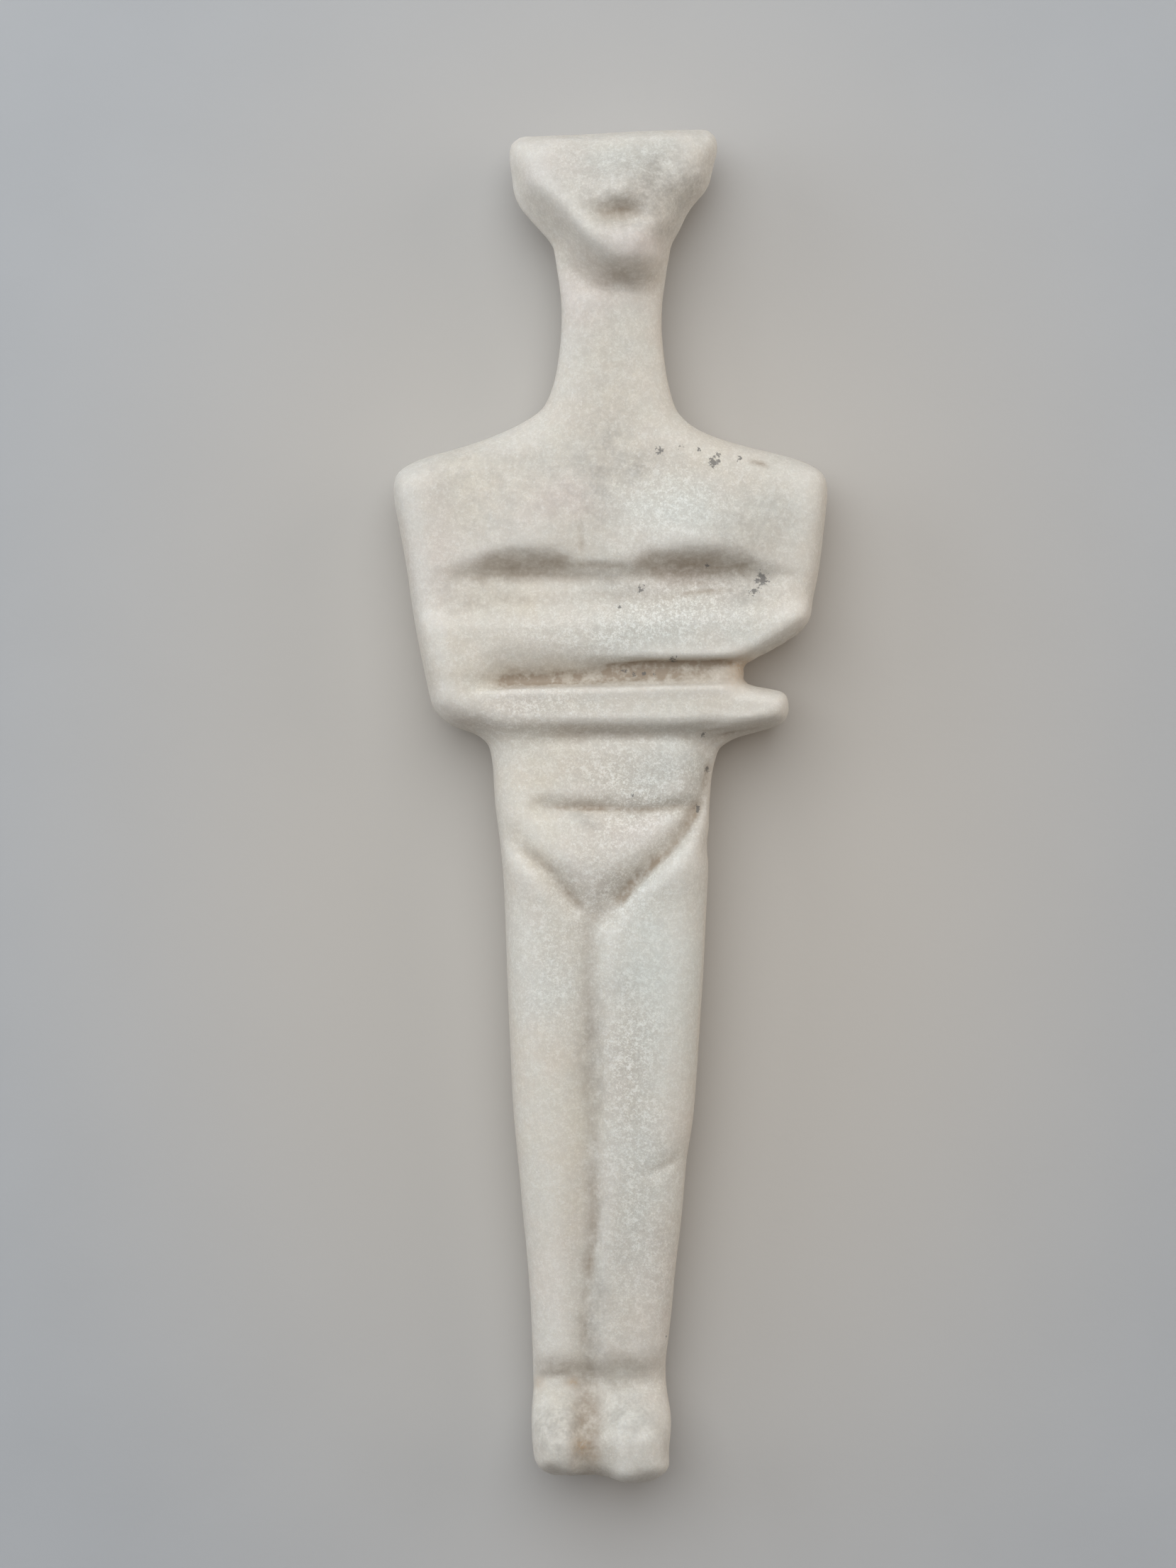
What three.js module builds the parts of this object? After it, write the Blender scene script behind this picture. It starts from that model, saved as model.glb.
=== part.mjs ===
// A flat marble figurine with folded arms, an angular head thrown back and feet that point down,
// lying loose on its back. It is one carved piece. Its left elbow is broken away.
// Millimetres. +Z is up, out of its face, +Y runs from its toes to its crown, and +X is to its
// own left. The origin lies under the middle of the figure, on the surface it rests on.
import * as THREE from "three";
import { mergeGeometries, mergeVertices } from "three/addons/utils/BufferGeometryUtils.js";

// Driving dimensions. A level is a distance from the toes, along the body.
const LENGTH = 210;
const SHOULDER_HALF = 34.1;
const SHOULDER_LEVEL = 153;
const LEAN = 0.01; // the midline drifts this much to the left for each millimetre upwards
const CROWN_SLANT = { drop: 1.1, half: 16, from: 185 }; // its right corner is lower than the left
const TOE_STEP = { by: 1.1, left: 3, right: -2, upTo: 10 }; // the right foot ends short of the left
const RIGHT = -1;
const LEFT = 1;

// Rows of the surface grid, as [level reached, rows to get there], and columns from side to side
const ROW_ZONES = [
  [0.3, 1], [1.2, 2], [4, 3], [14, 5], [22, 6], [50, 6], [60, 3], [84, 5], [108, 14], [113, 3],
  [119, 8], [122.2, 4], [128, 11], [134, 4], [139, 3], [147, 8], [154, 3], [160, 5], [167, 5],
  [183, 4], [189, 5], [203, 11], [208, 3], [209.7, 2], [LENGTH, 1],
];
const COLUMNS = 20;
const COLUMN_CROWDING = 0.9; // share of the spacing that crowds towards the edges
const WELD = 1e-3; // points closer than this are one

// Outline of one half, from the middle of the toes up one side to the middle of the crown, in
// [half width, level]. Each stretch is a smooth curve through its points.
const TOE_END = [[7, 0], [9.7, 1.6], [10.6, 5]];
const FOOT_TO_KNEE = [[10.6, 5], [10.8, 10], [10.5, 15.5], [11.4, 31], [12.6, 43], [14.1, 57]];
const KNEE_TO_HIP = [[14.1, 57], [15.3, 78], [16.2, 100]];
const HIP_TO_WAIST = [[16.2, 100], [17.3, 110.5], [18.4, 114.4]];
const ELBOW = [[18.4, 114.4], [20.6, 116], [24.2, 117.2], [26.9, 119.5], [27.9, 122]];
const UPPER_ARM = [[27.9, 122], [31.4, 137], [SHOULDER_HALF, SHOULDER_LEVEL]];
const SHOULDER_CORNER = [[SHOULDER_HALF, SHOULDER_LEVEL], [33.2, 156.6], [29.2, 158.8]];
const SHOULDER_TO_NECK = [[29.2, 158.8], [17.4, 162], [10.6, 166.2], [8.6, 171.5]];
const NECK_TO_JAW = [[8.6, 171.5], [7.7, 181], [9.2, 192]];
const JAW_TO_CROWN = [[9.2, 192], [13.7, 198.8], [16.2, 206.3]];
const CROWN_CORNER = [[16.2, 206.3], [15.9, 208.7], [14.3, LENGTH]];
const HALF_OUTLINE = [TOE_END, FOOT_TO_KNEE, KNEE_TO_HIP, HIP_TO_WAIST, ELBOW, UPPER_ARM,
  SHOULDER_CORNER, SHOULDER_TO_NECK, NECK_TO_JAW, JAW_TO_CROWN, CROWN_CORNER];
const SAMPLES_A_STRETCH = 40;
const SAMPLES_A_SIDE = 520;
const SAMPLES_AN_END = 24;
const SAMPLES_A_POINT = 8;

// Where one side stands out from the mean outline or in from it, by the carver's hand
const HAND_OF_THE_CARVER = [
  { side: RIGHT, level: 199.5, reach: 4.5, by: 1.0 },
  { side: LEFT, level: 201, reach: 2.2, by: 0.4 },
  { side: LEFT, level: 197.2, reach: 2.8, by: -0.9 },
  { side: RIGHT, level: 162.5, reach: 3, by: 1.3 },
  { side: LEFT, level: 162.5, reach: 3, by: -1.3 },
  { side: RIGHT, level: 142, reach: 9, by: -0.6 },
  { side: LEFT, level: 140, reach: 9, by: 0.6 },
  { side: RIGHT, level: 105, reach: 9, by: 0.7 },
  { side: LEFT, level: 109, reach: 8, by: -0.8 },
  { side: LEFT, level: 98.6, reach: 1.4, by: -0.3 },
  { side: LEFT, level: 49, reach: 4, by: -0.4 },
  { side: LEFT, level: 18, reach: 5, by: -0.5 },
  { side: LEFT, level: 9, reach: 3, by: 0.3 },
  { side: LEFT, level: 2.5, reach: 1.5, by: 0.5 },
];

// The broken left elbow, as [level, how far the stone reaches from the midline]
const BREAK = [
  [114.0, 18.2], [115.0, 19.4], [116.0, 23.0], [116.9, 26.2], [117.8, 27.7], [119.6, 28.3],
  [121.4, 28.1], [122.5, 27.3], [123.0, 25.2], [123.4, 22.0], [124.4, 21.3], [126.3, 21.3],
  [127.2, 22.4], [128.4, 24.7], [131.2, 29.2], [133.0, 31.1], [134.8, 31.7], [136.4, 31.8],
];

// Heights above the resting surface, as [level, front, edge, back]. Where the back is under 0 it
// is ground flat.
const HEIGHTS = [
  [0, 15.6, 11.4, 8.4], [2.6, 17.2, 11.0, 4.4], [7, 17.8, 10.0, 1.6], [10, 16.0, 8.6, 0.9],
  [13.4, 12.1, 7.6, 1.2], [15.2, 11.3, 7.2, 1.8], [20.4, 13.4, 7.2, 1.8], [36, 14.2, 7.4, 0.4],
  [54, 15.5, 7.8, 1.4], [74, 16.6, 8.0, 0.6], [89, 16.8, 8.2, 0.0], [96, 17.8, 8.2, -0.3],
  [104, 16.4, 8.2, 0.3], [113, 15.9, 8.2, 1.2], [118.6, 16.7, 8.3, 0.9], [131, 16.7, 8.4, 0.3],
  [142, 16.2, 8.4, -0.2], [150, 16.2, 8.4, -0.4], [158, 15.2, 8.2, 0.2], [165, 14.2, 8.2, 1.6],
  [176, 13.6, 8.4, 3.2], [184.2, 14.1, 8.8, 2.8], [186.8, 17.0, 9.0, 2.2], [189.6, 19.9, 9.2, 1.8],
  [192, 20.2, 9.2, 1.4], [199, 17.8, 8.8, 0.6], [206, 14.6, 8.0, 0.6], [LENGTH, 13.0, 7.6, 2.2],
];

// Rounding of the edges, as [level, width of the rounded edge seen from above, squareness]
const EDGES = [
  [0, 4.0, 2.2], [12, 5.0, 2.3], [22, 6.0, 2.4], [54, 6.6, 2.4], [96, 6.6, 2.4], [113, 6.0, 2.4],
  [122, 4.4, 2.4], [150, 4.6, 2.4], [160, 5.4, 2.3], [168, 6.4, 2.5], [176, 6.6, 2.6],
  [184, 6.6, 2.3], [192, 5.6, 1.7], [200, 5.6, 1.6], [LENGTH, 4.4, 1.7],
];
const BREAK_CRISPNESS = { by: 0.42, start: 114, end: 137, fade: 3 };
const CROWN_ROUNDING = 3.0;
const TOE_ROUNDING = 2.0;
const ROUND = 2; // the squareness of a quarter circle
const RELIEF_FADE = 1.5; // how soon the carving fades out into the rounded edge

// Carved features, in millimetres. A line is a list of [across, level] points, and its widths are
// those of its walls to the left and the right, for someone who walks along it.
const BREASTS = [
  { across: -13.0, half: 8.9, rise: 3.0 },
  { across: 13.0, half: 10.6, rise: 3.4 },
];
const BREAST_SQUARENESS = 2.6; // a breast ends sideways more abruptly than a bell curve does
const BREAST_TOP = 158;
const BREAST_CREST = 141.7; // at the sides of a breast, where it is lowest
const BREAST_CURVE = 3.6; // the crest stands this much higher at the middle
const BREAST_FOLD = 139.7;
const BREAST_UNDERCUT = { share: 0.42, width: 1.3 };
const FOREARMS = { top: [137.4, 132.6], slope: 0.03, end: [115.2, 118.4], rise: 1.6 };
const PARTING = { // its deepest line crosses from the lower wall to the upper one
  upper: [130.6, 127.6], lower: 122.6, deepest: [123.9, 126.1], from: -14, to: 13, slope: 0.02,
  depth: 2.4, right: -20.5, fade: 3,
};
const WAIST_FOLD = { level: 115.4, depth: 0.7, width: 1.3, right: -15, fade: 12 };
const BELLY_LINE = {
  points: [[-10.5, 104.2], [-2, 103.9], [5, 103.5], [13.2, 104.9]], widths: [1.2, 0.8], depth: 1.4,
};
const GROIN_RIGHT = {
  points: [[-15.6, 99.2], [-11.2, 95.4], [-7, 91.4], [-3.2, 86.4]], widths: [2.4, 0.9], depth: 1.5,
};
const GROIN_LEFT = {
  points: [[15.8, 114.5], [15.3, 109.5], [13.9, 104], [10.9, 99], [5.4, 94.2], [-2.2, 86]],
  widths: [0.9, 2.8], depth: 1.9,
};
const LEG_CLEFT = {
  points: [[-2.3, 86], [-1.7, 76], [-1.9, 48], [-2.9, 34], [-2.9, 16]], widths: [0.7, 3.2], depth: 2.0,
  start: 52, end: 22, left: 0.45,
};
const FOOT_WEB = { right: [-5.6, -4.7], left: [2.4, -1.0], depth: 2.2, start: 14, fade: 4 };
const STERNUM = { points: [[-4.6, 152], [-3.9, 143.5]], widths: [0.8, 0.8], depth: 0.25 };
const KNEE_DENT = { across: 10.4, level: 49.4, half: 4.2, width: 1.6, depth: 0.6 };
const NOSE = { across: 1.7, half: 4.2, rise: 2.6, top: 206, full: 199.7, end: 195.0, arch: 1.1 };
const MOUTH = { across: 1.8, level: 195.3, half: 4.7, width: 1.8, depth: 1.9 };
const FACE_EDGE = {
  across: 1.2, chin: 3.9, chinLevel: 190.2, crown: 14.6, crownLevel: 205, drift: 0.2,
  width: 4.2, fall: 0.68, start: 182.5, end: 188.5,
};

// Carving of the back
const SPINE = { points: [[0, 160], [0, 130], [0, 103]], widths: [2.2, 2.2], depth: 1.0 };
const BACK_ARM = { across: 22.5, width: 1.5, depth: 0.8, top: 151, end: 119, fade: 5 };
const BACK_CLEFT = {
  points: [[-0.4, 99], [-1.4, 60], [-3.1, 20], [-3.1, 1]], widths: [1.6, 1.6], depth: 1.3,
};
const BUTTOCK_FOLD = { level: 87, width: 1.8, depth: 0.8 };

const bell = (offset, width) => Math.exp(-((offset / width) ** 2));

// 0 at the first value, rising smoothly to 1 at the second, which may be the lower one
function between(start, end, value) {
  const t = THREE.MathUtils.clamp((value - start) / (end - start), 0, 1);
  return t * t * (3 - 2 * t);
}

// A smooth curve through the rows of a table, read at one value of the first column. It never
// swings past its points.
function throughRows(table, column) {
  const at = table.map((row) => row[0]);
  const value = table.map((row) => row[column]);
  const rise = at.slice(1).map((end, i) => (value[i + 1] - value[i]) / (end - at[i]));
  const slope = value.map((_, i) => {
    const before = rise[Math.max(i - 1, 0)];
    const after = rise[Math.min(i, rise.length - 1)];
    return before * after > 0 ? (2 * before * after) / (before + after) : 0;
  });
  return (x) => {
    let i = at.findIndex((end) => end > x) - 1;
    if (i < 0) i = x < at[0] ? 0 : at.length - 2;
    const run = at[i + 1] - at[i];
    const t = THREE.MathUtils.clamp((x - at[i]) / run, 0, 1);
    const rest = 1 - t;
    return (
      value[i] * (1 + 2 * t) * rest * rest + slope[i] * run * t * rest * rest +
      value[i + 1] * t * t * (3 - 2 * t) - slope[i + 1] * run * t * t * rest
    );
  };
}

// The half outline as [level, half width] rows, drawn as a chain of splines
function outlineRows() {
  const path = new THREE.Path();
  path.moveTo(...HALF_OUTLINE[0][0]);
  for (const stretch of HALF_OUTLINE) {
    path.splineThru(stretch.slice(1).map((point) => new THREE.Vector2(...point)));
  }
  const rows = path.getPoints(SAMPLES_A_STRETCH).map((point) => [point.y, point.x]);
  return rows.filter((row, i) => i === 0 || row[0] > rows[i - 1][0]);
}

const halfWidth = throughRows(outlineRows(), 1);
const brokenReach = throughRows(BREAK, 1);
const frontHeight = throughRows(HEIGHTS, 1);
const edgeHeight = throughRows(HEIGHTS, 2);
const backHeight = throughRows(HEIGHTS, 3);
const edgeWidth = throughRows(EDGES, 1);
const edgeSquareness = throughRows(EDGES, 2);
const midline = (level) => LEAN * (level - SHOULDER_LEVEL);

// How far the stone reaches from the midline on one side
function reachOf(side, level) {
  let reach = halfWidth(level);
  for (const spot of HAND_OF_THE_CARVER) {
    if (spot.side === side) reach += spot.by * bell(level - spot.level, spot.reach);
  }
  const broken = level > BREAK[0][0] && level < BREAK.at(-1)[0];
  return side === LEFT && broken ? brokenReach(level) : reach;
}

// The crown and the toe line aren't quite square to the body.
function levelShift(across, level) {
  const towardsRight = between(CROWN_SLANT.half, -CROWN_SLANT.half, across);
  const crown = CROWN_SLANT.drop * towardsRight * between(CROWN_SLANT.from, LENGTH, level);
  const onRightFoot = between(TOE_STEP.left, TOE_STEP.right, across);
  return TOE_STEP.by * onRightFoot * between(TOE_STEP.upTo, 0, level) - crown;
}

function planPoint(share, level) {
  const side = share < 0 ? RIGHT : LEFT;
  const across = midline(level) + share * reachOf(side, level);
  return new THREE.Vector2(across, level + levelShift(across, level));
}

// Lines along both sides and across both ends, for distances from the edge
function planLine(count, pointAt) {
  return Array.from({ length: count + 1 }, (_, i) => pointAt(i / count));
}
const rightSide = planLine(SAMPLES_A_SIDE, (t) => planPoint(RIGHT, t * LENGTH));
const leftSide = planLine(SAMPLES_A_SIDE, (t) => planPoint(LEFT, t * LENGTH));
const toeLine = planLine(SAMPLES_AN_END, (t) => planPoint(2 * t - 1, 0));
const crownLine = planLine(SAMPLES_AN_END, (t) => planPoint(2 * t - 1, LENGTH));

// The distance from a point to a line, and whether it lies to the left of the line
function nearest(line, point) {
  let least = { distance: Infinity, onLeft: true };
  for (let i = 1; i < line.length; i++) {
    const along = line[i].clone().sub(line[i - 1]);
    const from = point.clone().sub(line[i - 1]);
    const onLeft = along.cross(from) > 0;
    const t = THREE.MathUtils.clamp(from.dot(along) / along.lengthSq(), 0, 1);
    const distance = from.addScaledVector(along, -t).length();
    if (distance < least.distance) least = { distance, onLeft };
  }
  return least;
}

// 0 on an edge, rising to 1 at the given distance inside it
function rounded(distance, width, squareness) {
  const t = Math.min(distance / width, 1);
  return (1 - (1 - t) ** squareness) ** (1 / squareness);
}

// How full the section is at a point of the plan: 0 on the outline, and 1 inside the rounding
function fullness(point) {
  const level = point.y;
  const { by, start, end, fade } = BREAK_CRISPNESS;
  const crisper = 1 - by * between(start, start + fade, level) * between(end, end - fade, level);
  const width = edgeWidth(level);
  const squareness = edgeSquareness(level);
  const right = rounded(nearest(rightSide, point).distance, width, squareness);
  const left = rounded(nearest(leftSide, point).distance, width * crisper, squareness);
  const crown = rounded(nearest(crownLine, point).distance, CROWN_ROUNDING, ROUND);
  const toes = rounded(nearest(toeLine, point).distance, TOE_ROUNDING, ROUND);
  return Math.min(right, left) * crown * toes;
}

// A groove along a spline through the points, as a depth at a point of the plan
function carvedLine({ points, widths, depth }) {
  const spline = new THREE.SplineCurve(points.map((point) => new THREE.Vector2(...point)));
  const line = spline.getPoints(SAMPLES_A_POINT * points.length);
  return (point) => {
    const { distance, onLeft } = nearest(line, point);
    return depth * bell(distance, widths[onLeft ? 0 : 1]);
  };
}

const bellyLine = carvedLine(BELLY_LINE);
const groinRight = carvedLine(GROIN_RIGHT);
const groinLeft = carvedLine(GROIN_LEFT);
const legLine = carvedLine(LEG_CLEFT);
const sternum = carvedLine(STERNUM);
const spine = carvedLine(SPINE);
const backCleft = carvedLine(BACK_CLEFT);

// The cleft between the legs, which runs out towards the ankles
function legCleft(point) {
  const { start, end, left } = LEG_CLEFT;
  return legLine(point) * (1 - (1 - left) * between(start, end, point.y));
}

// Two low breasts, which rise slowly from the chest and fall away in a fold below
function breasts({ x, y }) {
  const fold = BREAST_UNDERCUT.share * bell(y - BREAST_FOLD, BREAST_UNDERCUT.width);
  return BREASTS.reduce((sum, { across, half, rise }) => {
    const middle = Math.exp(-(Math.abs((x - across) / half) ** BREAST_SQUARENESS));
    const crest = BREAST_CREST + BREAST_CURVE * middle;
    const swell = between(y > crest ? BREAST_TOP : BREAST_FOLD, crest, y);
    return sum + rise * (swell - fold) * middle;
  }, 0);
}

// Two forearms side by side across the waist, parted by a deep groove, with a fold below them
function forearms({ x, y }) {
  const above = between(...FOREARMS.top, y - FOREARMS.slope * x);
  const below = between(...FOREARMS.end, y);
  const { upper, lower, deepest, from, to, slope, depth, right, fade } = PARTING;
  const level = y - slope * x;
  const toLeft = between(from, to, x);
  const top = THREE.MathUtils.lerp(...upper, toLeft);
  const bottom = THREE.MathUtils.lerp(...deepest, toLeft);
  const upFromLower = THREE.MathUtils.clamp((level - lower) / (bottom - lower), 0, 1);
  const wall = between(top, bottom, level) * (1 - (1 - upFromLower) ** 2);
  const parting = depth * wall * between(right, right + fade, x);
  const fold = WAIST_FOLD.depth * bell(y - WAIST_FOLD.level, WAIST_FOLD.width) *
    between(WAIST_FOLD.right, WAIST_FOLD.right + WAIST_FOLD.fade, x);
  return FOREARMS.rise * above * below - parting - fold;
}

// A long wedge of a nose over a shallow hollow
function face({ x, y }) {
  const middle = bell(x - NOSE.across, NOSE.half);
  const arched = y + NOSE.arch * (1 - middle);
  const bridge = between(NOSE.top, NOSE.full, y) * between(NOSE.end, NOSE.full, arched);
  const nose = NOSE.rise * middle * bridge;
  return nose - MOUTH.depth * bell(x - MOUTH.across, MOUTH.half) * bell(y - MOUTH.level, MOUTH.width);
}

// The two feet rise on either side of a flat web.
function footWeb({ x, y }) {
  const { right, left, depth, start, fade } = FOOT_WEB;
  return depth * between(...right, x) * between(...left, x) * between(start, start - fade, y);
}

function kneeDent({ x, y }) {
  const { across, level, half, width, depth } = KNEE_DENT;
  return depth * bell(x - across, half) * bell(y - level, width);
}

function frontRelief(point) {
  const loins = Math.max(groinRight(point), groinLeft(point), legCleft(point));
  return (
    breasts(point) + forearms(point) + face(point) - footWeb(point) - kneeDent(point) -
    bellyLine(point) - loins - sternum(point)
  );
}

function backRelief(point) {
  const { x, y } = point;
  const { across, width, depth, top, end, fade } = BACK_ARM;
  const alongArm = between(end, end + fade, y) * between(top, top - fade, y);
  const arms = depth * bell(Math.abs(x) - across, width) * alongArm;
  const fold = BUTTOCK_FOLD.depth * bell(y - BUTTOCK_FOLD.level, BUTTOCK_FOLD.width);
  return spine(point) + backCleft(point) + arms + fold;
}

// The jaw narrows to the chin, so the face is a long triangle with a bevel down each side.
function jawBevel({ x, y }) {
  const { across, chin, chinLevel, crown, crownLevel, drift, width, fall, start, end } = FACE_EDGE;
  const middle = across + drift * (NOSE.full - y);
  const half = THREE.MathUtils.mapLinear(y, chinLevel, crownLevel, chin, crown);
  const beyond = Math.max(Math.abs(x - middle) - half, 0);
  return 1 - fall * between(start, end, y) * (1 - bell(beyond, width));
}

function surfacePoint(share, level, front) {
  const point = planPoint(share, level);
  const onOutline = Math.abs(share) === 1 || level === 0 || level === LENGTH;
  const full = onOutline ? 0 : fullness(point);
  const edge = edgeHeight(level);
  const relief = full ** RELIEF_FADE;
  const height = front
    ? edge + (frontHeight(level) - edge) * full * jawBevel(point) + relief * frontRelief(point)
    : Math.max(0, edge - (edge - backHeight(level)) * full + relief * backRelief(point));
  return new THREE.Vector3(point.x, point.y - LENGTH / 2, height);
}

function rowLevels() {
  const levels = [0];
  for (const [reached, rows] of ROW_ZONES) {
    const start = levels.at(-1);
    for (let i = 1; i <= rows; i++) levels.push(start + ((reached - start) * i) / rows);
  }
  return levels;
}

// The sheet's triangles, wound to face outwards. A triangle that lies on the outline with all
// three corners is left off both sheets.
function trianglesOf(sheet, rows, front) {
  const index = Array.from(sheet.getIndex().array);
  const across = COLUMNS + 1;
  const onOutline = (i) => i % across === 0 || i % across === COLUMNS || i < across || i >= rows * across;
  const kept = [];
  for (let i = 0; i < index.length; i += 3) {
    const [a, b, c] = index.slice(i, i + 3);
    if ([a, b, c].every(onOutline)) continue;
    kept.push(...(front ? [a, b, c] : [b, a, c]));
  }
  return kept;
}

// The front or the back as a grid of rows and columns, laid on the outline
function shell(front) {
  const levels = rowLevels();
  const sheet = new THREE.PlaneGeometry(2, 1, COLUMNS, levels.length - 1);
  const position = sheet.getAttribute("position");
  for (let i = 0; i < position.count; i++) {
    const row = levels.length - 1 - Math.floor(i / (COLUMNS + 1));
    const t = position.getX(i);
    const share = (1 - COLUMN_CROWDING) * t + COLUMN_CROWDING * Math.sin((t * Math.PI) / 2);
    const at = surfacePoint(THREE.MathUtils.clamp(share, -1, 1), levels[row], front);
    position.setXYZ(i, at.x, at.y, at.z);
  }
  sheet.setIndex(trianglesOf(sheet, levels.length - 1, front));
  sheet.deleteAttribute("normal");
  sheet.deleteAttribute("uv");
  return sheet;
}

// The figure lies on z = 0, with the middle of its outline over the origin.
function figurine() {
  const geometry = mergeVertices(mergeGeometries([shell(true), shell(false)]), WELD);
  geometry.computeBoundingBox();
  const { min, max } = geometry.boundingBox;
  geometry.translate(-(min.x + max.x) / 2, -(min.y + max.y) / 2, -min.z);
  geometry.computeVertexNormals();
  const marble = new THREE.MeshStandardMaterial({ color: 0xd3cdc1, roughness: 0.62, metalness: 0 });
  const mesh = new THREE.Mesh(geometry, marble);
  mesh.name = "figurine";
  return mesh;
}

const object = new THREE.Group();
object.add(figurine());

export default object;
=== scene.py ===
"""Carves and finishes the marble figurine, and lights it from above on a pale floor.

Lengths in the tables below are millimetres. A place on the figure is (across, level), as the
camera over it sees it: across is to the figure's own left, and level is upwards from its toes.
"""
import math
from collections import namedtuple

import bmesh
import bpy
import numpy as np
from bpy.props import FloatProperty, FloatVectorProperty, PointerProperty
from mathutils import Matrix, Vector, noise


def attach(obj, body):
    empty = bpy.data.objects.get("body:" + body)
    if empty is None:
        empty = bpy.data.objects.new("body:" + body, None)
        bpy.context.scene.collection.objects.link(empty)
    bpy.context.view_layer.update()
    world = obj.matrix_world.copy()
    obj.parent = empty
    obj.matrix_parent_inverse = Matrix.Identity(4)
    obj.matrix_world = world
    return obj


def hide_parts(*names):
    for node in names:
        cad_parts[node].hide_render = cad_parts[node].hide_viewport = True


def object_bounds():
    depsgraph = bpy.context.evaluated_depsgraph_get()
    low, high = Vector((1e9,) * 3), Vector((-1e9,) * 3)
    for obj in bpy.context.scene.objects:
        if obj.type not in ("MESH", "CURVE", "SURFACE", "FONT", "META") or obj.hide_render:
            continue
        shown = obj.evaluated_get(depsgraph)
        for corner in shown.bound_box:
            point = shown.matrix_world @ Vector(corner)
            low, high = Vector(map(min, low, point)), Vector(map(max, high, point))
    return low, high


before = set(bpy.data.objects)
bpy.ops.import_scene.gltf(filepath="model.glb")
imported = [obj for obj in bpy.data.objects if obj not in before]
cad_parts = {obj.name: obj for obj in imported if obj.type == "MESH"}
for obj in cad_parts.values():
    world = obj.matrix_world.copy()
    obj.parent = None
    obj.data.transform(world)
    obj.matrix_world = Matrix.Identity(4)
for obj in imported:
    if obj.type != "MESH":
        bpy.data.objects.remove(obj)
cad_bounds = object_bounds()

bl_info = {
    "name": "Folded-arm marble figurine",
    "version": (1, 0, 0),
    "blender": (4, 5, 0),
    "location": "View3D > Sidebar > Figurine",
    "description": "Carves the surface of a marble figurine and sets its stage",
    "category": "Object",
}

MM = 0.001
NODE = "figurine"
BODY = "root"
LOWEST, HIGHEST = (np.array(corner) / MM for corner in cad_bounds)
TOES = LOWEST[1]

# The camera looks straight down from here, and places are measured at the height of the outline.
CAMERA_ACROSS = -3.5
CAMERA_LEVEL = 108.1
CAMERA_HEIGHT = 608.0
OUTLINE_HEIGHT = 8.0

# Lines drawn into the stone. Left and right are the widths of the walls on either side, for
# someone who walks along the points, and the last column is how much dirt and painted shade darkens the
# line.
Cut = namedtuple("Cut", "points left right depth soil")
CUTS = (
    # the groove between the forearms: its floor, dark with soil and painted shade, its top corner and
    # its crisp lower edge
    Cut([(-19.5, 124.0), (-9, 124.2), (1, 124.8), (8, 125.8)], 1.4, 0.7, 0.4, 1.5),
    Cut([(-3, 126.4), (6, 126.5), (21, 126.9)], 0.45, 0.6, 0.45, 1.5),
    Cut([(-18, 122.4), (-9.6, 122.6), (6.8, 123.0), (20, 123.3)], 0.3, 0.9, -0.25, 0.0),
    # the folds under the breasts, and the faint line that joins them
    Cut([(-21.8, 141.9), (-13, 141.7), (-4.4, 141.8)], 2.8, 1.0, 0.3, 0.8),
    Cut([(2.9, 141.9), (13, 141.6), (24.4, 141.8)], 2.8, 1.0, 0.4, 0.9),
    Cut([(-8, 141.6), (-2, 141.8), (4, 141.7)], 0.8, 0.6, 0.22, 0.6),
    # between the breasts
    Cut([(-4.8, 149.5), (-4.3, 143.3)], 0.4, 0.7, 0.2, 0.5),
    # over the upper forearm
    Cut([(-26, 134.5), (-18, 136.6), (-8, 136.9), (4, 137), (14, 137.3)], 1.4, 0.7, 0.14, 0.3),
    # under the lower forearm and its stub
    Cut([(-10, 115.6), (2, 115.9), (14, 116.2), (20, 116.4)], 0.9, 0.5, 0.14, 0.2),
    Cut([(15.2, 114.9), (18, 115.7), (21.7, 116.5), (25.6, 117.2)], 0.4, 0.6, 0.45, 1.0),
    # the belly line
    Cut([(-10, 104.3), (0.2, 104.3), (7, 104.0), (12.4, 104.7)], 0.7, 0.4, 0.34, 0.9),
    # the lines of the groin
    Cut([(-15, 98.7), (-9.6, 94.4), (-6.5, 91), (-3.6, 87.6)], 0.9, 0.5, 0.35, 0.8),
    Cut([(14.6, 107), (13.5, 103.3), (9.9, 98.5), (6, 94.7), (3.4, 91.9), (0.6, 88)],
        0.5, 1.5, 0.4, 1.0),
    Cut([(15.6, 112), (15, 108.5), (14.5, 106)], 0.5, 0.7, 0.25, 0.8),
    # between the legs
    Cut([(-2.2, 84), (-1.7, 72), (-1.8, 58), (-2.2, 48)], 0.5, 1.8, 0.3, 0.1),
    Cut([(-2.2, 50), (-2.5, 38), (-3.2, 33), (-4.0, 26), (-3.6, 18)], 0.5, 1.0, 0.16, 0.5),
    # beside the knee
    Cut([(4.6, 46.4), (8, 47.9), (11.6, 50.2)], 1.1, 0.5, 0.25, 0.2),
    # the top edge of the right foot
    Cut([(-11.8, 15.7), (-8, 16), (-5.6, 15.7)], 0.6, 0.45, 0.25, 0.3),
    # a scratch on the shoulder and two faint streaks under the breasts
    Cut([(21.2, 158.6), (23.6, 158.1), (24.5, 157.3)], 0.35, 0.35, 0.08, 1.0),
    Cut([(-13, 137.5), (-4, 137.8), (3, 137.6)], 0.4, 0.4, 0.05, 0.4),
    Cut([(9, 137.7), (15, 138.2), (21, 139)], 0.4, 0.5, 0.08, 0.8),
)
CUT_TAPER = 4.0 # a cut fades out over this length at either end
LINE_STEPS = 8
SHAKE_OF_LINES = 0.3 # how far a line or a spot wanders from its place
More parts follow.
